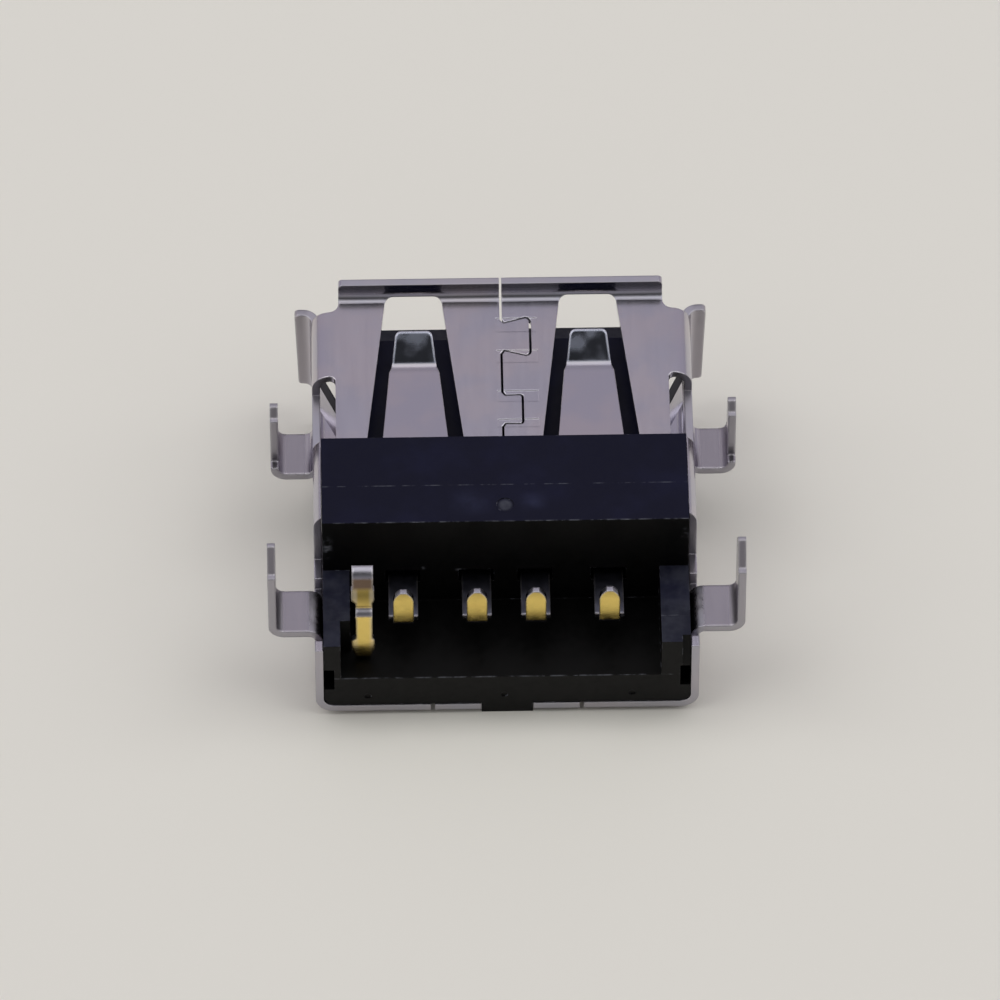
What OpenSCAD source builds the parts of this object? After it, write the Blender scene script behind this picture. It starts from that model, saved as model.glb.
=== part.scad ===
// Type A receptacle that sits in a cut-out of its board: a folded steel shell, a moulded housing,
// four contacts and a plug detect contact. It lies with its board side up and its mouth toward +Y.

/* [Shell] */
// Width inside the shell, across the plug
inner_w = 12.5; // [12.3:0.05:12.7]
// Height inside the shell
inner_h = 5.12; // [5.0:0.02:5.3]
// Thickness of the folded sheet
sheet_t = 0.27; // [0.24:0.01:0.3]
// Outside radius of the folded corners
corner_r = 0.65; // [0.5:0.05:0.75]
// Length from the rear face to the front of the lips
overall_len = 13.9; // [13.6:0.1:14.4]
// Height of the low walls around the rear well, above the shell's underside
low_wall_h = 3.3; // [3.1:0.05:3.4]
// Distance from the rear face to where the tall walls begin
tall_wall_y = 4.0; // [3.8:0.1:4.3]
// Length of the open slot between the top plate and each tall wall
slot_len = 2.75; // [2.5:0.05:2.9]
// Height of the wall beside the open slot, above the shell's underside
slot_wall_h = 4.66; // [4.5:0.02:4.8]

/* [Lips] */
// Inside bend radius of the lips
lip_r = 0.3; // [0.25:0.05:0.45]
// Rise of the top lip above the top plate
top_lip_h = 0.62; // [0.55:0.01:0.8]
// Width of the top lip
top_lip_w = 11.16; // [10.8:0.02:11.3]
// Distance of the corners' front edges behind the bends of the lips
corner_back = 0.36; // [0.3:0.02:0.5]
// Reach of the side lips beyond the walls
side_lip_reach = 0.58; // [0.5:0.01:0.7]
// Taper of the side lips toward their lower ends
side_lip_taper = 0.1; // [0.04:0.01:0.16]
// Height of the side lips
side_lip_h = 3.68; // [3.4:0.02:3.8]
// Height of the side lips' lower ends above the shell's underside
side_lip_z = 1.02; // [0.96:0.02:1.1]
// Drop of the bottom lip and of the key, on which the part lies
foot_drop = 0.2; // [0.15:0.01:0.25]

/* [Seam] */
// Width of the seam's gap where it runs along the shell
seam_gap = 0.08; // [0.05:0.01:0.1]
// Width of the seam's gap where it runs across the shell
seam_tight = 0.04; // [0.02:0.01:0.06]
// Reach of the front dovetail
key_reach_front = 1.0; // [0.8:0.05:1.1]
// Reach of the rear dovetail
key_reach_rear = 0.69; // [0.5:0.01:0.8]
// Depth of the coined marks that lock the dovetails
coin_depth = 0.02; // [0.02:0.01:0.06]

/* [Springs] */
// Distance of each top spring from the middle
spring_x = 3.0; // [2.9:0.05:3.1]
// Distance of each bottom spring from the middle
under_spring_x = 2.5; // [2.3:0.05:2.6]
// Width of a spring at its root
spring_root_w = 2.5; // [2.2:0.1:2.6]
// Width of a spring at its bend
spring_bend_w = 1.64; // [1.5:0.02:1.7]
// Width of a spring at its tip
spring_tip_w = 1.3; // [1.2:0.02:1.4]
// Slope of a spring down into the mouth, in degrees
spring_slope = 8; // [6:0.5:9]
// Rise of a top spring's tip, in degrees
spring_tip_rise = 34; // [30:1:38]

/* [Legs] */
// Width of the legs
leg_w = 1.78; // [1.6:0.02:1.9]
// Distance from the rear face to the middle of the rear legs
leg_rear_y = 1.71; // [1.65:0.01:1.75]
// Distance between the front and the rear legs
leg_pitch = 6.88; // [6.8:0.02:7.0]
// Distance of the front legs from the middle
leg_front_x = 7.83; // [7.7:0.01:8.1]
// Distance of the rear legs from the middle
leg_rear_x = 7.95; // [7.7:0.01:8.1]
// Width of the pins that the front legs end in
pin_w = 1.06; // [0.96:0.02:1.2]
// Height of the front legs' shoulders above their flanges
shoulder_h_front = 2.4; // [2.2:0.05:2.6]
// Height of the rear legs' shoulders above their flanges
shoulder_h_rear = 2.88; // [2.7:0.02:3.1]
// Height of the front legs' points above their shoulders
point_h_front = 0.28; // [0.2:0.01:0.4]
// Height of the rear legs' points above their shoulders
point_h_rear = 0.76; // [0.5:0.02:0.9]
// Width of the legs' tips
tip_w = 0.16; // [0.12:0.02:0.3]

/* [Housing] */
// Play between the housing and the shell
housing_fit = 0.02; // [0.01:0.005:0.04]
// Distance from the rear face to the rear of the block
block_y = 3.4; // [3.3:0.05:3.5]
// Distance from the rear face to the front of the block's roof
roof_y = 7.12; // [6.9:0.02:7.2]
// Thickness of the roof where it covers the top plate
roof_t = 0.3; // [0.25:0.01:0.4]
// Height of the well's floor above the shell's underside
well_h = 1.73; // [1.6:0.01:1.78]
// Height of the well's side walls above the shell's underside
side_h = 3.5; // [3.4:0.02:3.6]
// Width of the tongue
tongue_w = 11.1; // [10.9:0.05:11.2]
// Thickness of the tongue
tongue_t = 1.84; // [1.8:0.01:1.9]
// Distance of the tongue's tip behind the lips
tongue_recess = 0.7; // [0.6:0.05:1.0]
// Width of the key under the rear edge
key_w = 1.74; // [1.6:0.02:1.8]

/* [Contacts] */
// Spacing of the two inner contacts
pitch_inner = 2.0; // [1.9:0.05:2.1]
// Spacing of an outer contact from the inner one beside it
pitch_outer = 2.5; // [2.4:0.05:2.6]
// Width of a contact
contact_w = 1.0; // [0.9:0.02:1.04]
// Thickness of a contact
contact_t = 0.22; // [0.18:0.01:0.24]
// Width of a contact's tail
tail_w = 0.7; // [0.6:0.02:0.76]
// Distance from the rear face to the tails
tail_y = 1.4; // [1.3:0.01:1.5]
// Height of the tails above the shell's underside
tail_z = 4.6; // [4.4:0.05:4.8]
// Play around a contact in the housing
contact_fit = 0.03; // [0.02:0.01:0.05]
// Distance of the detect contact left of the middle
detect_x = 4.88; // [4.8:0.02:4.95]
// Distance from the rear face to the detect contact's post
detect_y = 0.76; // [0.7:0.02:0.9]
// Height of the detect contact's fold above the shell's underside
detect_fold = 4.2; // [4.0:0.05:4.4]
// Height of the detect contact's head above the shell's underside
detect_h = 6.1; // [5.9:0.05:6.3]
// Width of the detect contact across its ears and its foot
detect_w = 0.78; // [0.74:0.02:0.82]

/* [Hidden] */
$fn = 48;
e = 0.01;

// The shell's section and the stations along it
half_w = inner_w / 2 + sheet_t;
out_h = inner_h + 2 * sheet_t;
flat_x = half_w - corner_r;
lip_y = overall_len - sheet_t - lip_r;
corner_end = lip_y - corner_back;
lip_end_r = 0.15;
plate_x = 5.71;
plate_rear = 5.5;
slot_rear = 7.35;
slot_front = slot_rear + slot_len;
slot_r = 0.2;
slit_x = 2.54;
slit_w = 0.14;
slit_len = 1.2;

// The seam's dovetails and the coined marks across them: distance from the rear face and length
dovetail_rear_y = plate_rear + 2.3;
dovetail_front_y = overall_len - 2.88;
dovetail_len = 1.54;
coin_x = -0.17;
coin_w = 1.4;
coins = [[dovetail_rear_y + 0.15, 0.35], [dovetail_rear_y + 1.34, 0.48], [dovetail_front_y - 0.12, 0.55],
    [dovetail_front_y + 1.28, 0.62]];

// The springs and their windows
spring_root = 6.6;
spring_bend = overall_len - 3;
spring_tip = overall_len - 1.93;
under_tip_rise = 25;
spring_lead = 0.4;
spring_tip_r = 0.2;
root_r = 1.5;
bend_r = 0.35;
window_side = 0.48;
window_w = 1.98;
window_r = 0.3;
window_fold = 45;
under_window_front = lip_y - 0.2;

// The legs' folds and the openings they leave
wall_bend_r = 0.3;
low_bend_r = 0.2;
leg_bend_r = 0.28;
leg_stub = 0.1;
flange_top = low_wall_h + 0.03;
lance_gap = 0.12;
lance_x = 5.3;
lance_top = flange_top + wall_bend_r + leg_stub;
relief_rear = 0.36;
relief_front = 0.54;
low_root = flange_top - sheet_t - low_bend_r - leg_stub;
pin_ledge = leg_bend_r + 0.04;
step_front = 0.17;
step_rear = 0.22;
taper_front = 0.62;
taper_rear = 1.1;

// The housing
house_x = inner_w / 2 - housing_fit;
house_z = sheet_t + housing_fit;
house_r = corner_r - sheet_t;
rear_in = 0.04;
block_top = out_h + housing_fit + roof_t;
roof_low = out_h - sheet_t - 0.29;
wall_front = block_y + 0.85;
well_left = -5.66;
well_right = 5.24;
key_len = 1.9;
key_slot_len = 2;
tongue_y = overall_len - tongue_recess;
tongue_z = 2.8;
nose = 0.2;
ramp_y = 0.7;
ramp_z = 0.27;
pocket_d = 0.35;
pocket_y = 1.2;
pocket_z = 1.15;
pocket_h = 1.05;
shelf_y = 1.2;
shelf_drop = 0.07;
shelf_x = detect_x + detect_w / 2 + 0.05;
set_in_x = 5.95;
set_in_y = 0.34;
sink_xs = [-4.75, -0.1, 4.25];
sink_z = 0.75;
sink_r = 0.12;
sink_d = 0.04;
ejector_y = 4.12;
ejector_r = 0.29;
ejector_d = 0.03;

// The springs in the walls, which lean in below the tongue
side_spring_y = overall_len - 1;
side_spring_w = 1.3;
side_spring_z = tongue_z - side_spring_w / 2 - 0.1;
side_spring_in = 24;
side_spring_len = 1.86;
side_window_len = 2.3;
side_window_w = 1.8;

// The contacts and their passages
contact_xs = [-pitch_inner / 2 - pitch_outer, -pitch_inner / 2, pitch_inner / 2,
    pitch_inner / 2 + pitch_outer];
strip_top = tongue_z + 0.2;
contact_r = 0.1;
contact_tip = tongue_y - 1.8;
bow = [2.1, 9, 0.6];
nose_up = [0.9, 24, 0.5];
arch_h = 0.5;
arch_r = 0.62;
arch_angle = asin(arch_h / arch_r);
way_w = contact_w + 0.2;
way_h = 0.35;
way_y = block_y + 0.5;
way_end = tongue_y - 0.7;
passage = 2;
detect_z = well_h + 0.05;
detect_r = 0.15;
detect_end = wall_front + 0.5;
detect_run_w = 0.5;
detect_post_left = 0.25;
detect_post_right = 0.32;
detect_head_w = 0.72;
foot_low = 0.22;
foot_mid = 0.7;
foot_h = 1.1;
fold_angle = 75;
fold_r = 0.06;
fold_h = (2 * fold_r + contact_t) * sin(fold_angle);
head_r = 0.16;
head_angle = 80;
head_len = 0.12;
ear_h = 0.82;
ear_len = 0.7;

// Points on an arc
function arc(c, r, a0, a1, n = 6) =
    [for (i = [0 : n]) let (a = a0 + (a1 - a0) * i / n)
        c + r * [cos(a), sin(a)]];

// An outline and its mirror image across the middle
function mirrored(p) = concat(p, [for (i = [len(p) - 1 : -1 : 0]) [-p[i][0], p[i][1]]]);

// Points on both sides of a path, at half of d across it, which is a pair for X and Y
function unit(v) = v / norm(v);
function left(v) = [-v[1], v[0]];
function side(p, i, d) =
    let (a = i == 0 ? unit(p[1] - p[0]) : unit(p[i] - p[i - 1]),
        b = i == len(p) - 1 ? a : unit(p[i + 1] - p[i]),
        m = unit(left(a) + left(b)))
    p[i] + [d[0] * m[0], d[1] * m[1]] / (m * left(a));
function band(p, d) = concat(
    [for (i = [0 : len(p) - 1]) side(p, i, d / 2)],
    [for (i = [len(p) - 1 : -1 : 0]) side(p, i, -d / 2)]);

module both() {
    children();
    mirror([1, 0, 0]) children();
}

module sector(r, t, a, w) {
    rotate_extrude(angle = a) translate([r, 0]) square([t, w]);
}

// What comes off a square corner at the origin to round it
module round_off(r) {
    difference() {
        translate([-r, -r]) square(2 * r);
        translate([-r, -r]) circle(r);
    }
}

// One side of a bent strip: each step is a straight length, a turn in degrees and its inside radius
function trace(s, t, d, p = [0, 0], a = 0, i = 0) =
    i == len(s) ? [] :
    let (turn = s[i][1],
        r = s[i][2],
        k = turn < 0 ? -90 : 90,
        q = p + s[i][0] * [cos(a), sin(a)],
        c = q + (turn < 0 ? -r : t + r) * [-sin(a), cos(a)],
        n = ceil(abs(turn) / 6),
        fan = turn == 0 ? [] : arc(c, turn < 0 ? r + d : t + r - d, a - k, a - k + turn, n),
        next = c + (turn < 0 ? r : t + r) * [cos(a - k + turn), sin(a - k + turn)])
    concat(s[i][0] > 0 ? [p + d * [-sin(a), cos(a)]] : [], [q + d * [-sin(a), cos(a)]],
        [for (j = [1 : 1 : n - 1]) fan[j]], trace(s, t, d, next, a + turn, i + 1));

// A bent strip with turns of any size
module strip(steps, t, w) {
    far = trace(steps, t, t);
    linear_extrude(w) polygon(concat(trace(steps, t, 0), [for (j = [len(far) - 1 : -1 : 0]) far[j]]));
}

// A bent strip with square folds
module ribbon(steps, t, w, i = 0) {
    run = steps[i][0];
    turn = steps[i][1];
    r = steps[i][2];
    if (run > 0) cube([run, t, w]);
    if (turn > 0) translate([run, t + r, 0]) rotate([0, 0, -90]) sector(r, t, turn, w);
    if (turn < 0) translate([run, -r, 0]) rotate([0, 0, 90 + turn]) sector(r, t, -turn, w);
    if (i < len(steps) - 1) {
        dx = turn > 0 ? (r + t) * sin(turn) : r * sin(-turn);
        dy = turn > 0 ? (r + t) * (1 - cos(turn)) : -r * (1 - cos(turn));
        translate([run + dx, dy, 0]) rotate([0, 0, turn]) ribbon(steps, t, w, i + 1);
    }
}

// The folded tube, before it is cut
module tube() {
    translate([-flat_x, 0, 0]) cube([2 * flat_x, lip_y, sheet_t]);
    translate([-flat_x, plate_rear, out_h - sheet_t]) cube([2 * flat_x, lip_y - plate_rear, sheet_t]);
    both() {
        translate([inner_w / 2, 0, corner_r]) cube([sheet_t, lip_y, out_h - 2 * corner_r]);
        translate([flat_x, lip_y, corner_r]) rotate([90, 0, 0]) rotate([0, 0, -90])
            sector(corner_r - sheet_t, sheet_t, 90, lip_y);
        translate([flat_x, lip_y, out_h - corner_r]) rotate([90, 0, 0])
            sector(corner_r - sheet_t, sheet_t, 90, lip_y - tall_wall_y);
    }
}

// The lip along the top plate, with rounded ends
module top_lip() {
    difference() {
        translate([-top_lip_w / 2, lip_y, out_h - sheet_t]) rotate([90, 0, 90])
            ribbon([[0, 90, lip_r], [top_lip_h - lip_r, 0, 0]], sheet_t, top_lip_w);
        both() translate([top_lip_w / 2, overall_len + 1, out_h + top_lip_h]) rotate([90, 0, 0])
            linear_extrude(2) round_off(lip_end_r);
    }
}

// The lip along a wall, which narrows downward between its rounded ends
module side_lip() {
    foot_x = -side_lip_taper - lip_end_r;
    difference() {
        translate([half_w, lip_y, side_lip_z]) rotate([0, 0, 90])
            ribbon([[0, -90, lip_r], [side_lip_reach - lip_r, 0, 0]], sheet_t, side_lip_h);
        translate([half_w + side_lip_reach, overall_len + 1, side_lip_z]) rotate([90, 0, 0]) linear_extrude(2)
            polygon(concat([[1, side_lip_h + 1], [-lip_end_r, side_lip_h + 1]],
                arc([-lip_end_r, side_lip_h - lip_end_r], lip_end_r, 90, 0),
                arc([foot_x, lip_end_r], lip_end_r, 0, -90), [[foot_x, -1], [1, -1]]));
    }
}

// The low lip along the underside
module bottom_lip() {
    drop = foot_drop - lip_r * (1 - cos(45));
    translate([-top_lip_w / 2, lip_y, 0]) rotate([90, 0, 90])
        strip([[0, -45, lip_r], [drop / sin(45), 0, 0]], sheet_t, top_lip_w);
}

// The opening around a spring, which narrows toward the mouth
module spring_window(front, r) {
    rear_w = spring_root_w / 2 + window_side;
    translate([0, 0, -1]) linear_extrude(2) polygon(mirrored(concat(
        [[rear_w, spring_root]], arc([window_w / 2 - r, front - r], r, 0, 90))));
}

// The part of a top window that runs on into the bend of the lip
module window_end() {
    depth = lip_r + sheet_t;
    translate([0, lip_y, lip_r]) rotate([window_fold, 0, 0]) translate([0, 0, -depth - 0.2])
        linear_extrude(depth) polygon(mirrored(concat([[window_w / 2, -depth]],
            arc([window_w / 2 - window_r, -window_r], window_r, 0, 90))));
}

// A spring that slopes into the mouth and lifts its tip
module spring(rise) {
    root = spring_root_w / 2;
    bend = spring_bend_w / 2;
    tip = spring_tip_w / 2;
    run = (spring_bend - spring_root - 2 * bend_r) / cos(spring_slope);
    end = spring_tip - spring_bend + bend_r;
    intersection() {
        translate([-spring_root_w, spring_root - e, -sheet_t]) rotate([90, 0, 90]) strip(
            [[spring_lead, -spring_slope, root_r], [run, spring_slope + rise, bend_r], [end, 0, 0]],
            sheet_t, 2 * spring_root_w);
        translate([0, 0, -3]) linear_extrude(6) polygon(mirrored(concat(
            [[root, spring_root - 1], [bend + 0.04, spring_bend - 0.25], [bend - 0.04, spring_bend]],
            arc([tip - spring_tip_r, spring_tip - spring_tip_r], spring_tip_r, 0, 90))));
    }
}

// One dovetail of the seam, wider at its end by twice the flare
function dovetail(y, reach, flare, r) = concat(
    [[0, y], [0.1, y + 0.15]],
    arc([reach - r, y + 0.15 - flare + r], r, -90, 0, 3),
    arc([reach - r, y + dovetail_len - 0.15 + flare - r], r, 0, 90, 3),
    [[0.1, y + dovetail_len - 0.15], [0, y + dovetail_len]]);

// The seam from the rear edge of the top plate to the lip, and the coined marks that lock it
module seam_cut() {
    path = concat([[0, plate_rear - 1]], dovetail(dovetail_rear_y, key_reach_rear, 0.02, 0.1),
        dovetail(dovetail_front_y, key_reach_front, 0.22, 0.17), [[0, overall_len + 1]]);
    translate([0, 0, out_h - 0.5]) linear_extrude(3) polygon(band(path, [seam_gap, seam_tight]));
    for (c = coins) translate([coin_x, c[0] - c[1] / 2, out_h - coin_depth]) cube([coin_w, c[1], 1]);
}

// What is cut off in front of a corner, with a round inner corner beside the lip
module corner_cut(h) {
    x = top_lip_w / 2;
    linear_extrude(h) polygon(concat([[x + 2, corner_end], [x + 2, overall_len + 1], [x, overall_len + 1]],
        arc([x + corner_back, lip_y], corner_back, 180, 270)));
}

// A wall's openings: the slot at its top, the side spring, the blank of the front leg and the corners
module wall_cuts() {
    wall_x = inner_w / 2 - e;
    lip_top = side_lip_z + side_lip_h;
    translate([0, 0, out_h - corner_r - 0.1]) linear_extrude(2) polygon(concat(
        [[inner_w / 2, tall_wall_y - 1], [plate_x, tall_wall_y - 1]],
        arc([plate_x + slot_r, slot_front - slot_r], slot_r, 180, 90), [[inner_w / 2, slot_front]]));
    translate([wall_x, slot_rear, slot_wall_h]) cube([1, slot_len, 2]);
    translate([wall_x, -1, low_wall_h]) cube([1, tall_wall_y + 1, 4]);
    translate([lance_x, leg_rear_y + leg_pitch - leg_w / 2 - lance_gap, -1])
        cube([half_w - lance_x + 1, leg_w + 2 * lance_gap, lance_top + 1]);
    translate([wall_x, leg_rear_y - leg_w / 2 - relief_rear, low_root])
        cube([1, leg_w + relief_rear + relief_front, 2]);
    translate([wall_x, side_spring_y - side_window_len, side_spring_z - side_window_w / 2])
        cube([1, side_window_len, side_window_w]);
    translate([0, 0, lip_top]) corner_cut(out_h);
    translate([0, 0, side_lip_z - out_h]) corner_cut(out_h);
    translate([slit_x - slit_w / 2, -1, -1]) cube([slit_w, slit_len + 1, 2]);
}

// A spring in the wall that leans inward
module side_spring() {
    translate([half_w, side_spring_y + e, side_spring_z + side_spring_w / 2]) rotate([180, 0, -90])
        strip([[leg_stub, side_spring_in, 0.4], [side_spring_len, 0, 0]], sheet_t, side_spring_w);
}

// What comes off an edge of a leg's end, outside an outline of half-width and height
module leg_trim(outline) {
    low = outline[0][1];
    top = outline[len(outline) - 1][1];
    translate([-1, 0, 0]) rotate([90, 0, 90]) linear_extrude(2)
        polygon(concat([[leg_w, low]], outline, [[tip_w / 2, top + 1], [leg_w, top + 1]]));
}

// A leg that hangs from the tall wall above it and ends in a narrow pin
module front_leg() {
    flange = leg_front_x - half_w - wall_bend_r - leg_bend_r - sheet_t / 2;
    y = leg_rear_y + leg_pitch;
    top = shoulder_h_front + point_h_front;
    difference() {
        translate([inner_w / 2, y + leg_w / 2, lance_top + e]) rotate([0, 90, 0]) rotate([90, 0, 0]) ribbon(
            [[leg_stub + e, 90, wall_bend_r], [flange, 90, leg_bend_r], [top - leg_bend_r, 0, 0]],
            sheet_t, leg_w);
        translate([leg_front_x, y, flange_top]) {
            leg_trim([[pin_w / 2, pin_ledge], [pin_w / 2, top - taper_front], [tip_w / 2, top]]);
            mirror([0, 1, 0]) leg_trim([[pin_w / 2, pin_ledge], [pin_w / 2, shoulder_h_front],
                [pin_w / 2 - step_front, shoulder_h_front], [tip_w / 2, top]]);
        }
    }
}

// A leg that folds out of the low wall below it
module rear_leg() {
    flange = leg_rear_x - half_w - low_bend_r - leg_bend_r - sheet_t / 2;
    top = shoulder_h_rear + point_h_rear;
    difference() {
        translate([half_w, leg_rear_y + leg_w / 2, low_root - e]) rotate([0, -90, 0]) rotate([90, 0, 0])
            ribbon([[leg_stub + e, -90, low_bend_r], [flange, 90, leg_bend_r], [top - leg_bend_r, 0, 0]],
                sheet_t, leg_w);
        translate([leg_rear_x, leg_rear_y, flange_top]) {
            leg_trim([[leg_w / 2, top - taper_rear], [tip_w / 2, top]]);
            mirror([0, 1, 0]) leg_trim([[leg_w / 2 - step_rear, shoulder_h_rear], [tip_w / 2, top]]);
        }
    }
}

module shell() {
    color([0.58, 0.56, 0.60]) place() {
        difference() {
            union() {
                tube();
                top_lip();
                both() side_lip();
                bottom_lip();
            }
            both() wall_cuts();
            both() translate([spring_x, 0, out_h]) {
                spring_window(lip_y, e);
                window_end();
            }
            both() translate([under_spring_x, 0, 0]) spring_window(under_window_front, window_r);
            translate([-key_w / 2 - housing_fit, -1, -1])
                cube([key_w + 2 * housing_fit, key_slot_len + 1, 2]);
            seam_cut();
        }
        both() {
            translate([spring_x, 0, out_h]) spring(spring_tip_rise);
            translate([under_spring_x, 0, 0]) mirror([0, 0, 1]) spring(under_tip_rise);
            side_spring();
            front_leg();
            rear_leg();
        }
    }
}

// The body of the housing behind the mouth: floor, block and the walls of the well
module housing_body() {
    len = wall_front - rear_in;
    depth = block_y - rear_in;
    rise = side_h - well_h;
    translate([-house_x + house_r, rear_in, house_z])
        cube([2 * (house_x - house_r), len, well_h - house_z]);
    both() {
        translate([house_x - house_r, rear_in, house_z + house_r])
            cube([house_r, len, well_h - house_z - house_r]);
        translate([house_x - house_r, wall_front, house_z + house_r]) rotate([90, 0, 0])
            rotate([0, 0, -90]) sector(0, house_r, 90, len);
    }
    translate([-house_x, block_y, well_h]) cube([2 * house_x, wall_front - block_y, block_top - well_h]);
    translate([-house_x, rear_in, well_h]) cube([house_x + well_left, depth, rise]);
    translate([well_right, rear_in, well_h]) cube([house_x - well_right, depth, rise]);
    translate([-house_x, shelf_y, well_h]) cube([house_x - shelf_x, block_y - shelf_y, rise - shelf_drop]);
    translate([-key_w / 2, rear_in, -foot_drop]) cube([key_w, key_len, foot_drop + house_z + house_r]);
}

// The roof of the block, which takes the top plate in a slot under its front
module roof() {
    slot_x = plate_x + housing_fit;
    difference() {
        translate([-house_x, wall_front, roof_low])
            cube([2 * house_x, roof_y - wall_front, block_top - roof_low]);
        translate([-slot_x, plate_rear - housing_fit, roof_low - 1])
            cube([2 * slot_x, roof_y - plate_rear + 1, out_h + housing_fit - roof_low + 1]);
    }
}

module tongue() {
    top = tongue_z + tongue_t;
    translate([-tongue_w / 2, 0, 0]) rotate([90, 0, 90]) linear_extrude(tongue_w) polygon([
        [wall_front, tongue_z], [tongue_y - nose, tongue_z], [tongue_y, tongue_z + nose],
        [tongue_y, top - ramp_z], [tongue_y - ramp_y, top], [wall_front, top]]);
}

// The passages for the contacts, open toward the plug and widened at the rear of the block
module contact_ways() {
    w = contact_w + 2 * contact_fit;
    h = contact_t + 2 * contact_fit;
    low = strip_top - contact_t - contact_fit;
    for (x = contact_xs) {
        translate([x - w / 2, block_y - 1, low]) cube([w, passage + 1, h]);
        translate([x - way_w / 2, block_y - 1, low]) cube([way_w, way_y - block_y + 1, h + way_h]);
        translate([x - w / 2, wall_front, low - 1]) cube([w, way_end - wall_front, h + 1]);
    }
    detect_way = detect_run_w + 2 * contact_fit;
    translate([-detect_x - detect_way / 2, block_y - 1, detect_z - contact_fit])
        cube([detect_way, passage + 1, h]);
}

// Pockets, the lowered walls of the well, the slanted end of the right one, sink marks and the ejector mark
module marks() {
    both() translate([house_x - pocket_d, -1, pocket_z]) cube([1, pocket_y + 1, pocket_h]);
    translate([-house_x - 1, shelf_y, side_h - shelf_drop]) cube([2 * house_x + 2, block_y - shelf_y, 1]);
    translate([set_in_x, 0, 0]) rotate([90, 0, 90]) linear_extrude(1) polygon([[-1, pocket_z + pocket_h],
        [rear_in, pocket_z + pocket_h], [set_in_y, side_h], [set_in_y, side_h + 1], [-1, side_h + 1]]);
    for (x = sink_xs) translate([x, rear_in + sink_d, sink_z]) rotate([90, 0, 0]) cylinder(h = 1, r = sink_r);
    translate([0, ejector_y, block_top - ejector_d]) cylinder(h = 1, r = ejector_r);
}

module housing() {
    color([0.03, 0.03, 0.035]) place() difference() {
        union() {
            housing_body();
            roof();
            tongue();
        }
        contact_ways();
        marks();
    }
}

// A contact that runs along the tongue, bows toward the plug and turns up into its round-topped tail
module contact(x) {
    rise = tail_z - strip_top - contact_r;
    bow_len = bow[0] * cos(bow[1]) + nose_up[0] * cos(nose_up[1] - bow[1]) + nose_up[2] * sin(nose_up[1]);
    run = contact_tip - tail_y - contact_t - contact_r - bow_len;
    half = tail_w / 2;
    crown = half - arch_r * (1 - cos(arch_angle));
    color([0.80, 0.68, 0.38]) place() translate([x, 0, 0]) difference() {
        translate([-contact_w / 2, tail_y, tail_z]) rotate([0, 90, 0]) strip(
            [[rise, 90, contact_r], [run, -bow[1], bow[2]], [bow[0], nose_up[1], nose_up[2]],
                [nose_up[0], 0, 0]], contact_t, contact_w);
        both() translate([0, tail_y + contact_t + contact_r, 0]) rotate([90, 0, 0]) linear_extrude(1)
            polygon(concat([[contact_w, 0], [half, 0]],
                arc([half - arch_r, tail_z - arch_h], arch_r, 0, arch_angle),
                [[crown, tail_z + 1], [contact_w, tail_z + 1]]));
    }
}

// What comes off one edge of the detect contact, whose post is w wide on that side
module detect_trim(w) {
    half = detect_w / 2;
    head = detect_head_w / 2;
    ear_top = detect_h - ear_h;
    ear_low = ear_top - ear_len;
    translate([0, detect_end + 1, 0]) rotate([90, 0, 0]) linear_extrude(detect_end + 2) polygon([
        [1, detect_z - 1], [detect_run_w / 2, detect_z - 1], [detect_run_w / 2, detect_z + foot_low],
        [half, detect_z + foot_mid], [half, detect_z + foot_h], [w, detect_z + foot_h + 0.12],
        [w, ear_low], [half, ear_low + 0.15], [half, ear_top], [head, ear_top], [head, detect_h + 1],
        [1, detect_h + 1]]);
}

// The fifth contact: a post with a fold, two ears and a head that bends over forward
module detect_contact() {
    run = detect_end - detect_y - contact_t - detect_r;
    post = detect_fold - fold_h / 2 - detect_z - contact_t - detect_r;
    neck = detect_h - head_r - contact_t - detect_fold - fold_h / 2;
    color([0.80, 0.68, 0.38]) place() translate([-detect_x, 0, 0]) difference() {
        translate([detect_w / 2, detect_end, detect_z]) rotate([90, 0, -90]) strip(
            [[run, 90, detect_r], [post, fold_angle, fold_r], [e, -fold_angle, fold_r],
                [neck, head_angle, head_r], [head_len, 0, 0]], contact_t, detect_w);
        detect_trim(detect_post_right);
        mirror([1, 0, 0]) detect_trim(detect_post_left);
    }
}

module contact_outer_left() contact(contact_xs[0]);
module contact_inner_left() contact(contact_xs[1]);
module contact_inner_right() contact(contact_xs[2]);
module contact_outer_right() contact(contact_xs[3]);

// The origin is under the middle of the part, on the plane that it lies on
module place() {
    translate([0, -overall_len / 2, foot_drop]) children();
}

shell();
housing();
contact_outer_left();
contact_inner_left();
contact_inner_right();
contact_outer_right();
detect_contact();
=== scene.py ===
"""A type A receptacle, board side up: folded steel shell, black moulded housing, plated contacts."""
import math

import bpy
from mathutils import Matrix, Vector


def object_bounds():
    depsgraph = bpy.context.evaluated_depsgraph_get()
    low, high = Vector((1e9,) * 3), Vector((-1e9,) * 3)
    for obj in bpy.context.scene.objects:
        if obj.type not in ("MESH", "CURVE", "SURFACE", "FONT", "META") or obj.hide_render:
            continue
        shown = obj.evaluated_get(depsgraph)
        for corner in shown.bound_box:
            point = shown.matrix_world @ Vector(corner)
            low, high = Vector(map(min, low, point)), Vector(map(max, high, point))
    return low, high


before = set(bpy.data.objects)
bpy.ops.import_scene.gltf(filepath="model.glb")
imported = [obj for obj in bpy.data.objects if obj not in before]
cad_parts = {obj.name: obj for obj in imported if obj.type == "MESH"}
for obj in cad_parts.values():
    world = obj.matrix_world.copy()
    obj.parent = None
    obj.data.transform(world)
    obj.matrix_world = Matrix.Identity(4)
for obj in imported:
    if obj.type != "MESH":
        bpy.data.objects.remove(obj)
cad_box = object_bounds()

MM = 0.001

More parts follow.
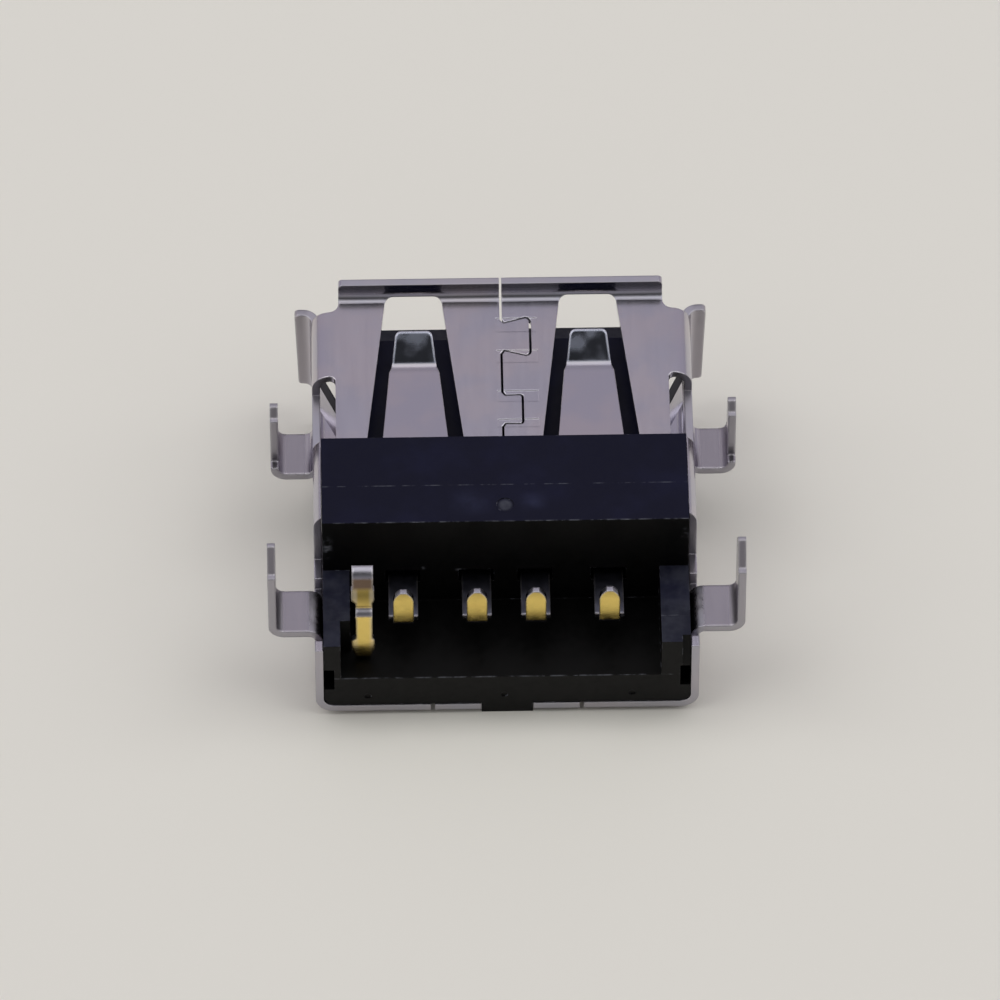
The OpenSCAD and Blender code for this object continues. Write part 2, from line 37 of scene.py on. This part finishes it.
# Camera: where it looks from, and how the photograph frames the part
PHOTO_SIZE = 1000
VIEW_ELEVATION = math.radians(51.18)
VIEW_AZIMUTH = math.radians(-1.045)
VIEW_DISTANCE = 398 * MM
PIXELS_PER_METRE = 29.18 / MM
AIM = Vector((0, 0, 3.2 * MM))
AIM_PIXEL = (503.65, 494.63)
SENSOR = 36.0


class Shader:
    """A material's node tree, with short calls for the nodes that it needs. Places are in millimetres."""

    def __init__(self, name):
        self.material = bpy.data.materials.new(name)
        self.material.use_nodes = True
        self.tree = self.material.node_tree
        self.bsdf = self.tree.nodes["Principled BSDF"]
        coords = self.add("ShaderNodeTexCoord").outputs["Object"]
        scaled = self.add("ShaderNodeVectorMath", {0: coords, "Scale": 1 / MM}, operation="SCALE")
        self.point = scaled.outputs[0]
        xyz = self.add("ShaderNodeSeparateXYZ", {0: self.point}).outputs
        self.x, self.y, self.z = xyz[0], xyz[1], xyz[2]
        self.normal = self.add("ShaderNodeNewGeometry").outputs["True Normal"]
        self.facing = self.add("ShaderNodeSeparateXYZ", {0: self.normal}).outputs

    def add(self, kind, inputs=(), **settings):
        """A new node, with its settings and with a value or a link on each input."""
        node = self.tree.nodes.new(kind)
        for key, value in settings.items():
            setattr(node, key, value)
        for key, value in dict(inputs).items():
            self.feed(node.inputs[key], value)
        return node

    def feed(self, socket, value):
        if isinstance(value, bpy.types.NodeSocket):
            self.tree.links.new(value, socket)
        else:
            socket.default_value = value

    def set(self, **sockets):
        for key, value in sockets.items():
            self.feed(self.bsdf.inputs[key.replace("_", " ")], value)

    def math(self, operation, a, b=0.0):
        return self.add("ShaderNodeMath", {0: a, 1: b}, operation=operation).outputs[0]

    def times(self, *values):
        out = values[0]
        for value in values[1:]:
            out = self.math("MULTIPLY", out, value)
        return out

    def most(self, *values):
        out = values[0]
        for value in values[1:]:
            out = self.math("MAXIMUM", out, value)
        return out

    def ramp(self, value, low, high, to_low=0.0, to_high=1.0):
        """A smooth step from to_low, where value is low, to to_high, where it is high."""
        inputs = {"Value": value, "From Min": low, "From Max": high, "To Min": to_low, "To Max": to_high}
        return self.add("ShaderNodeMapRange", inputs, interpolation_type="SMOOTHSTEP").outputs[0]

    def between(self, share, a, b):
        """A number that goes smoothly from a to b as the share goes from 0 to 1."""
        return self.ramp(share, 0.0, 1.0, a, b)

    def near(self, value, centre, width):
        """1 where value is at centre, falling to 0 at that distance from it."""
        gap = self.math("ABSOLUTE", self.math("SUBTRACT", value, centre))
        return self.ramp(gap, 0.0, width, 1.0, 0.0)

    def noise(self, scale, detail=3.0, stretch=(1, 1, 1), roughness=0.55):
        """Noise with so many features to a millimetre, drawn out by the stretch."""
        vector = self.point
        if stretch != (1, 1, 1):
            shrink = tuple(1 / k for k in stretch)
            scaled = self.add("ShaderNodeVectorMath", {0: vector, 1: shrink}, operation="MULTIPLY")
            vector = scaled.outputs[0]
        inputs = {"Vector": vector, "Scale": scale, "Detail": detail, "Roughness": roughness}
        return self.add("ShaderNodeTexNoise", inputs).outputs[0]

    def mix(self, share, a, b):
        """A colour between a and b."""
        node = self.add("ShaderNodeMix", data_type="RGBA")
        self.feed(node.inputs[0], share)
        self.feed(node.inputs[6], a)
        self.feed(node.inputs[7], b)
        return node.outputs[2]

    def round_edges(self, radius, full=0.8):
        """The normal with its edges rounded by a radius in metres, and an edge mask, whole at that cosine."""
        rounded = self.add("ShaderNodeBevel", {"Radius": radius}, samples=6).outputs[0]
        dot = self.add("ShaderNodeVectorMath", {0: rounded, 1: self.normal}, operation="DOT_PRODUCT")
        return rounded, self.ramp(dot.outputs["Value"], 0.995, full)

    def bump(self, height, depth, normal):
        """The normal, roughened by a height of so many millimetres."""
        inputs = {"Height": height, "Distance": depth * MM, "Strength": 1.0, "Normal": normal}
        return self.add("ShaderNodeBump", inputs).outputs[0]


def grey(value, red=1.0, green=1.0, blue=1.0):
    return (value * red, value * green, value * blue, 1.0)


# Places on the shell, in millimetres in the part's own frame. A pair is where a mask begins and is whole,
# and X is measured from the middle to either side
TIPS_Y = (5.9, 5.7)
LEGS_X = (6.55, 6.75)
LEG_FOLDS_X = (6.6, 6.7)
LEG_BEND_X = 6.58
LEG_BEND_Z = 3.4
REAR_LEGS_Y = (-3.6, -4.0)
LIP_RIM_Z = (6.0, 6.1)
WALL_RIM_X = (6.15, 6.2)
WALL_RIM_Z = (4.2, 4.3)
BEHIND_LIPS_Y = (6.5, 6.4)
SOFT_BENDS_Y = (6.45, 3.95)
SOFT_BENDS_X = (5.8, 5.65)
SOFT_BEND_REACH = 0.35
SIDE_SPRING_Z = 2.9
SIDE_SPRING_X = (6.4, 6.3)

# How far the sheet's edges are rounded, sharp ones and those of the legs and the springs' tips
SHEET_EDGE = 0.06 * MM
SHEET_EDGE_ROUND = 0.12 * MM

SHEET_COOL = (0.525, 0.512, 0.580, 1)
SHEET_WARM = (0.580, 0.540, 0.580, 1)
TIP_BLUE = (0.460, 0.490, 0.600, 1)
LEG_GREY = (0.440, 0.415, 0.450, 1)
SCRATCH_GREY = grey(0.70)
RIM_BRIGHT = (0.84, 0.82, 0.84, 1)
DULL_GREY = (0.30, 0.30, 0.34, 1)
SHADED_GREY = grey(0.08)

SHEET_ROUGHNESS = (0.20, 0.23)
TIP_GLOSS = 0.6
SMUDGE_ROUGHNESS = 0.31
CUT_ROUGHNESS = 0.36
FOLD_ROUGHNESS = 0.4
SCUFF_ROUGHNESS = 0.5


def steel():
    """Nickel plated sheet: clouds, faint streaks, smudged tips, dull bends and cut edges, bright rims."""
    s = Shader("shell_steel_finish")
    _, facing_y, facing_z = s.facing
    outside = s.math("ABSOLUTE", s.x)
    legs = s.ramp(outside, *LEGS_X)
    tips = s.times(s.ramp(facing_y, -0.4, -0.5), s.ramp(facing_z, 0.5, 0.6), s.ramp(s.y, *TIPS_Y))
    rounded, edge = s.round_edges(s.between(s.most(tips, legs), SHEET_EDGE, SHEET_EDGE_ROUND))

    cloud = s.ramp(s.noise(0.45, 3.0), 0.36, 0.64)
    streak = s.noise(2.0, 4.0, stretch=(0.3, 4.0, 1.0))
    scratch = s.ramp(s.noise(5.0, 2.0, stretch=(0.12, 3.0, 0.5)), 0.67, 0.73)
    grain = s.noise(24.0, 3.0)
    smudge = s.times(tips, s.ramp(s.noise(0.9, 2.0), 0.3, 0.7))

    upward = s.ramp(facing_z, 0.9, 0.97)
    wall_rim = s.times(s.ramp(outside, *WALL_RIM_X), s.ramp(s.z, *WALL_RIM_Z))
    rim = s.times(upward, s.most(s.ramp(s.z, *LIP_RIM_Z), wall_rim))
    rear_edge = s.times(s.ramp(facing_y, -0.85, -0.95), s.ramp(s.y, *BEHIND_LIPS_Y))
    cut = s.most(rim, rear_edge)
    bends = s.most(*[s.near(s.y, y, SOFT_BEND_REACH) for y in SOFT_BENDS_Y])
    soft = s.times(bends, s.ramp(facing_z, 0.9998, 0.998), s.ramp(outside, *SOFT_BENDS_X))
    fold = s.times(s.ramp(outside, *LEG_FOLDS_X), s.ramp(facing_z, 0.2, 0.4), s.ramp(facing_z, 0.99, 0.97))
    leg_bend = s.times(s.near(outside, LEG_BEND_X, 0.38), s.near(s.z, LEG_BEND_Z, 0.4))
    leg_bend = s.times(leg_bend, s.ramp(s.y, *REAR_LEGS_Y))
    scuff = s.times(leg_bend, s.ramp(s.noise(5.0, 4.0), 0.3, 0.6, 0.7, 1.0))
    # Painted shade: the upward top edges of the side springs inside the shell are painted near black, as they
    # lie in shade under the top plate.
    shaded = s.times(upward, s.near(s.z, SIDE_SPRING_Z, 0.1), s.ramp(outside, *SIDE_SPRING_X))

    sheet = s.mix(cloud, SHEET_COOL, SHEET_WARM)
    plate = s.mix(legs, s.mix(tips, sheet, TIP_BLUE), LEG_GREY)
    worn = s.mix(s.times(scratch, 0.15), plate, SCRATCH_GREY)
    bright = s.mix(s.times(edge, s.between(soft, 0.6, 0.1)), worn, RIM_BRIGHT)
    dull = s.most(scuff, s.times(soft, 0.7), s.times(cut, 0.7))
    colour = s.mix(shaded, s.mix(s.times(dull, 0.6), bright, DULL_GREY), SHADED_GREY)

    smooth = s.times(s.ramp(streak, 0.25, 0.75, *SHEET_ROUGHNESS), s.between(tips, 1.0, TIP_GLOSS))
    roughness = s.most(
        smooth,
        s.times(s.most(cut, soft), CUT_ROUGHNESS),
        s.times(fold, FOLD_ROUGHNESS),
        s.times(scuff, SCUFF_ROUGHNESS),
        s.times(smudge, SMUDGE_ROUGHNESS))
    height = s.math("ADD", s.times(grain, 0.5), s.times(streak, 0.2))
    s.set(Base_Color=colour, Metallic=1.0, Roughness=roughness, Normal=s.bump(height, 0.0006, rounded))
    return s.material


# Places on the housing, in millimetres in the part's own frame
BLOCK_TOP_Z = 6.18
WELL_WALL_Z = 3.66
WELL_TOP_Z = (3.2, 3.4)
BLOCK_REAR_Y = -3.55
FLASH_LINE_Y = -1.95
FLASH_EDGES = ((BLOCK_REAR_Y, BLOCK_TOP_Z), (-6.91, 1.93))
EJECTOR_MARK = (0.0, -2.83)
EJECTOR_RADIUS = 0.29

# Patches of painted bluish sheen on the block's top: X, Y and reach. Pale patches on its rear face: X, Z, and
# reach along each; the two at the side corners are a painted reflection of side light
SHEEN_SPOTS = ((-1.15, -2.65, 1.0), (0.95, -2.7, 0.7))
PALE_PATCHES = (
    (-6.1, 4.9, 0.28, 0.75),
    (6.13, 5.4, 0.22, 0.35),
    (-2.82, 3.69, 0.2, 0.12),
    (-1.52, 3.57, 0.25, 0.1),
)

MOULDING_EDGE = 0.04 * MM
# The next three blues are painted light: a bluish tint of the light from above on the upward faces, and a
# brighter painted sheen.
BLUE_DEEP = (0.0026, 0.0030, 0.0145, 1)
BLUE_PALE = (0.0044, 0.0050, 0.0215, 1)
PAINTED_SHEEN_BLUE = (0.16, 0.18, 0.38, 1)
BLACK = (0.0020, 0.0019, 0.0019, 1)
FLASH_PALE = grey(0.25, 0.95, 1.0, 1.15)
MOULDING_ROUGHNESS = (0.34, 0.48)


def moulding():
    """Black moulded plastic, its upward faces painted bluish for the light from above: grain, clouds, painted
    sheen, a parting line, pale patches, edges with broken flash.
    """
    s = Shader("black_moulding_finish")
    rounded, edge = s.round_edges(MOULDING_EDGE)
    _, facing_y, facing_z = s.facing

    grain = s.noise(30.0, 3.0)
    cloud = s.ramp(s.noise(0.55, 3.0), 0.45, 0.75)
    fleck = s.ramp(s.noise(6.0, 2.0, stretch=(2.0, 1.0, 1.0)), 0.55, 0.68)
    broken = s.ramp(s.noise(2.5, 4.0), 0.45, 0.65)
    mottle = s.ramp(s.noise(3.0), 0.3, 0.7, 0.6, 1.0)
    ragged = s.ramp(s.noise(3.5, 2.0), 0.42, 0.7, 0.0, 0.7)
    drift = s.ramp(s.noise(1.5, 3.0), 0.25, 0.75, 0.03, 0.13)

    upward = s.ramp(facing_z, 0.7, 0.9)
    top = s.times(upward, s.ramp(s.z, BLOCK_TOP_Z - 0.25, BLOCK_TOP_Z - 0.15))
    rear = s.times(s.near(s.y, BLOCK_REAR_Y, 0.1), s.ramp(facing_y, -0.7, -0.9))
    line = s.times(s.near(s.y, FLASH_LINE_Y, 0.03), top, broken)
    flash = [s.times(s.near(s.y, y, 0.05), s.near(s.z, z, 0.05), broken) for y, z in FLASH_EDGES]
    away = [s.math("SUBTRACT", a, b) for a, b in zip((s.x, s.y), EJECTOR_MARK)]
    reach = s.math("SQRT", s.math("ADD", *[s.math("POWER", a, 2.0) for a in away]))
    spot = s.times(s.ramp(reach, EJECTOR_RADIUS, EJECTOR_RADIUS * 0.5), upward, mottle)
    # Painted reflection: the two pale patches at the block's rear side corners stand in for side light
    # catching them; the two by the well are plain pale marks.
    pale_patches = [s.times(s.near(s.x, x, w), s.near(s.z, z, h), rear, ragged) for x, z, w, h in PALE_PATCHES]
    # Painted sheen: bluish patches on the block's top.
    painted_sheen = [s.times(s.near(s.x, x, r), s.near(s.y, y, r * 0.8), top, drift, 0.6) for x, y, r in SHEEN_SPOTS]
    # Painted sheen: the upward tops of the well's walls are lightened towards pale, as if catching the light
    # from above.
    wall_top_painted_sheen = s.times(upward, s.near(s.z, WELL_WALL_Z, 0.2), drift)

    # Painted light: the upward faces above the well take a painted bluish tint of the light from above; every
    # other face, the well's floor among them, stays plain black.
    painted_blue_top = s.mix(s.most(*painted_sheen), s.mix(cloud, BLUE_DEEP, BLUE_PALE), PAINTED_SHEEN_BLUE)
    dark = s.mix(s.times(upward, s.ramp(s.z, *WELL_TOP_Z)), BLACK, painted_blue_top)
    pale = s.most(s.times(edge, fleck, 0.9), *[s.times(f, 0.4) for f in flash], s.times(line, 0.3),
                  s.times(spot, 0.2), wall_top_painted_sheen, *pale_patches)
    colour = s.mix(pale, dark, FLASH_PALE)
    roughness = s.ramp(s.noise(4.0, 4.0), 0.3, 0.7, *MOULDING_ROUGHNESS)
    s.set(Base_Color=colour, Roughness=roughness, Normal=s.bump(grain, 0.003, rounded))
    s.set(Specular_IOR_Level=0.13)
    return s.material


# Places on the contacts: the top of the strips, the middle of the detect contact, of its ears and of its neck
STRIP_TOP_Z = 3.3
STRIP_TAIL_Y = -4.7
DETECT_X = -4.86
EARS_Z = 5.1
NECK_Z = 5.7

STRIP_EDGE = 0.09 * MM
DETECT_EDGE = 0.14 * MM
GOLD = (0.88, 0.66, 0.19, 1)
GOLD_STAINED = (0.80, 0.57, 0.16, 1)
EAR_BROWN = (0.20, 0.15, 0.04, 1)
NECK_BROWN = (0.16, 0.11, 0.08, 1)
TIN = (0.40, 0.39, 0.44, 1)
STRIP_PAINTED_SHADE = (0.23, 0.23, 0.30, 1)
STRIP_PAINTED_SHADOW = (0.06, 0.06, 0.08, 1)
COINED_PALE = (0.66, 0.64, 0.65, 1)
PLATING_ROUGHNESS = (0.16, 0.24)


def plating():
    """Flash plating: gold upright faces and tin on the head, the fold and other lying faces, a split by
    facing that is partly a painted reflection; strips painted dark, with painted shadow under the block; pale
    coined rims.
    """
    s = Shader("contact_plating_finish")
    facing_x, _, facing_z = s.facing
    off_detect = s.math("ABSOLUTE", s.math("SUBTRACT", s.x, DETECT_X))
    detect = s.ramp(off_detect, 0.6, 0.5)
    coined = s.times(detect, s.ramp(off_detect, 0.15, 0.27), s.ramp(s.z, NECK_Z, EARS_Z + 0.3))
    rounded, edge = s.round_edges(s.between(detect, STRIP_EDGE, DETECT_EDGE), full=0.93)

    sheared = s.ramp(s.math("ABSOLUTE", facing_x), 0.6, 0.8)
    lying = s.ramp(facing_z, 0.25, 0.6)
    strip = s.times(lying, s.ramp(s.z, STRIP_TOP_Z + 0.1, STRIP_TOP_Z))
    above = s.most(detect, s.ramp(s.z, STRIP_TOP_Z - 0.08, STRIP_TOP_Z))
    # Gold on upright faces and tin on lying ones split the plating by facing: partly gold flash plating,
    # partly a painted reflection, yellow below and neutral above.
    plated = s.times(above, s.math("SUBTRACT", 1.0, lying), s.math("SUBTRACT", 1.0, sheared))

    stain = s.ramp(s.noise(1.6, 3.0), 0.5, 0.75)
    gold = s.mix(stain, GOLD, GOLD_STAINED)
    ears = s.mix(s.times(s.near(s.z, EARS_Z + 0.15, 0.95), 0.9), gold, EAR_BROWN)
    upright = s.mix(s.ramp(s.z, EARS_Z + 0.3, NECK_Z), ears, NECK_BROWN)
    # Painted shade: the strips are painted dark blue-grey, darker still towards the block as a painted shadow
    # under it.
    strip_painted_shade = s.mix(s.ramp(s.y, STRIP_TAIL_Y, BLOCK_REAR_Y), STRIP_PAINTED_SHADE, STRIP_PAINTED_SHADOW)
    faces = s.mix(plated, s.mix(strip, TIN, strip_painted_shade), upright)
    colour = s.mix(s.times(s.most(edge, s.times(coined, 0.5)), 0.55), faces, COINED_PALE)

    patchy = s.ramp(s.noise(4.0), 0.3, 0.7, *PLATING_ROUGHNESS)
    roughness = s.math("ADD", patchy, s.times(lying, 0.12))
    s.set(Base_Color=colour, Metallic=1.0, Roughness=roughness, Normal=s.bump(s.noise(20.0), 0.0004, rounded))
    return s.material


def dress():
    """Gives every CAD node the finish of its slot."""
    finishes = {"shell_steel": steel(), "black_moulding": moulding(), "contact_plating": plating()}
    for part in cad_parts.values():
        for slot in part.material_slots:
            slot.material = finishes[slot.material.name.split(".")[0]]


FLOOR_SIZE = 12.0
FLOOR_COLOUR = (0.84, 0.82, 0.75, 1)


def floor():
    """A plain pale floor under the part."""
    bpy.ops.mesh.primitive_plane_add(size=FLOOR_SIZE, location=(0, 0, cad_box[0].z))
    plane = bpy.context.object
    plane.name = "floor"
    paper = bpy.data.materials.new("pale_floor")
    paper.use_nodes = True
    bsdf = paper.node_tree.nodes["Principled BSDF"]
    bsdf.inputs["Base Color"].default_value = FLOOR_COLOUR
    bsdf.inputs["Roughness"].default_value = 0.9
    bsdf.inputs["Specular IOR Level"].default_value = 0.1
    plane.data.materials.append(paper)


# The surroundings over a half turn from the horizon beyond the mouth: degrees and radiance
SURROUNDINGS = (
    (0, (0.40, 0.38, 0.42)),
    (30, (0.46, 0.43, 0.49)),
    (43, (0.46, 0.43, 0.49)),
    (54, (0.37, 0.35, 0.40)),
    (66, (0.44, 0.42, 0.46)),
    (100, (0.14, 0.14, 0.14)),
    (112, (0.03, 0.03, 0.03)),
    (130, (0.03, 0.03, 0.03)),
    (144, (0.16, 0.16, 0.16)),
    (152, (0.24, 0.24, 0.24)),
    (164, (0.32, 0.31, 0.33)),
    (180, (0.32, 0.31, 0.33)),
)


def sky():
    """Soft studio surroundings: a grey-lilac screen beyond the mouth, dark overhead and grey behind."""
    world = bpy.data.worlds.new("studio")
    bpy.context.scene.world = world
    world.use_nodes = True
    tree = world.node_tree
    tree.nodes.clear()
    direction = tree.nodes.new("ShaderNodeTexCoord").outputs["Generated"]
    split = tree.nodes.new("ShaderNodeSeparateXYZ")
    tree.links.new(direction, split.inputs[0])
    turn = tree.nodes.new("ShaderNodeMath")
    turn.operation = "ARCTAN2"
    tree.links.new(split.outputs[2], turn.inputs[0])
    tree.links.new(split.outputs[1], turn.inputs[1])
    share = tree.nodes.new("ShaderNodeMath")
    share.operation = "DIVIDE"
    share.inputs[1].default_value = math.pi
    tree.links.new(turn.outputs[0], share.inputs[0])
    ramp = tree.nodes.new("ShaderNodeValToRGB")
    tree.links.new(share.outputs[0], ramp.inputs[0])
    stops = ramp.color_ramp.elements
    while len(stops) < len(SURROUNDINGS):
        stops.new(0.5)
    for stop, (degrees, radiance) in zip(stops, SURROUNDINGS):
        stop.position = degrees / 180
        stop.color = (*radiance, 1)
    around = tree.nodes.new("ShaderNodeBackground")
    tree.links.new(ramp.outputs[0], around.inputs["Color"])
    output = tree.nodes.new("ShaderNodeOutputWorld")
    tree.links.new(around.outputs[0], output.inputs["Surface"])


def softbox(name, azimuth, elevation, distance, width, depth, radiance):
    """A flat lamp that faces the part. Angles are in degrees, and azimuth turns from beyond the mouth."""
    a, e = math.radians(azimuth), math.radians(elevation)
    toward = Vector((math.sin(a) * math.cos(e), math.cos(a) * math.cos(e), math.sin(e)))
    lamp = bpy.data.lights.new(name, "AREA")
    lamp.shape = "RECTANGLE"
    lamp.size = width
    lamp.size_y = depth
    lamp.energy = math.pi * width * depth * radiance
    box = bpy.data.objects.new(name, lamp)
    box.location = toward * distance
    box.rotation_euler = toward.to_track_quat("Z", "Y").to_euler()
    bpy.context.collection.objects.link(box)


def camera():
    """The camera at the photograph's viewing angle."""
    a, e = VIEW_AZIMUTH, VIEW_ELEVATION
    forward = Vector((-math.sin(a) * math.cos(e), math.cos(a) * math.cos(e), -math.sin(e)))
    right = Vector((math.cos(a), math.sin(a), 0))
    up = right.cross(forward)
    across = (AIM_PIXEL[0] - PHOTO_SIZE / 2) / PIXELS_PER_METRE
    above = (PHOTO_SIZE / 2 - AIM_PIXEL[1]) / PIXELS_PER_METRE
    data = bpy.data.cameras.new("photo_view")
    data.sensor_width = SENSOR
    data.lens = SENSOR * PIXELS_PER_METRE * VIEW_DISTANCE / PHOTO_SIZE
    data.clip_start = VIEW_DISTANCE * 0.1
    data.clip_end = VIEW_DISTANCE * 20
    view = bpy.data.objects.new("photo_view", data)
    turn = Matrix((right, up, -forward)).transposed()
    place = AIM - forward * VIEW_DISTANCE - right * across - up * above
    view.matrix_world = Matrix.Translation(place) @ turn.to_4x4()
    bpy.context.collection.objects.link(view)
    bpy.context.scene.camera = view


dress()
floor()
sky()
softbox("top_lamp", azimuth=0, elevation=80, distance=0.5, width=0.8, depth=0.42, radiance=0.82)
softbox("left_lamp", azimuth=-95, elevation=48, distance=0.5, width=0.5, depth=0.5, radiance=0.9)
softbox("right_lamp", azimuth=95, elevation=48, distance=0.5, width=0.5, depth=0.5, radiance=0.9)
camera()
bpy.context.scene.view_settings.view_transform = "Standard"
